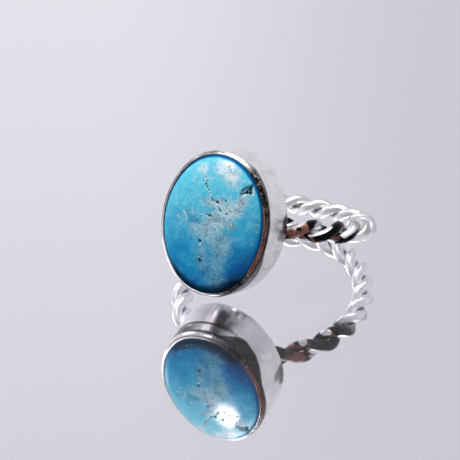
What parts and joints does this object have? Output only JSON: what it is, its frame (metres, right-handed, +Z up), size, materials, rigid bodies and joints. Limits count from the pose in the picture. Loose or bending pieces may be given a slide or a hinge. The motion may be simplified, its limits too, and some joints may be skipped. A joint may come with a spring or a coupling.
{
  "type": "silver and turquoise finger ring lying on its side",
  "caption": "Silver finger ring: an oval turquoise cabochon in a tall plain bezel cup, soldered to a round shank of two wires twisted together.",
  "frame": {"origin": "on the surface that the ring lies on, at the middle of the bounding box's base", "axes": "+Z up from the surface; -Y is the side that the stone faces, so +Y runs from the stone to the back of the shank; +X across the finger. The finger hole's axis leans 17.2 degrees from +Z towards +Y."},
  "size_m": [0.022, 0.0278, 0.0156],
  "materials": {
    "silver": "hand-polished sterling silver, darker in the recesses",
    "turquoise": "polished turquoise with pale clouds, fine veins and small pits"
  },
  "bodies": {
    "root": {"silver_mount": "silver", "stone": "turquoise"}
  },
  "joints": []
}
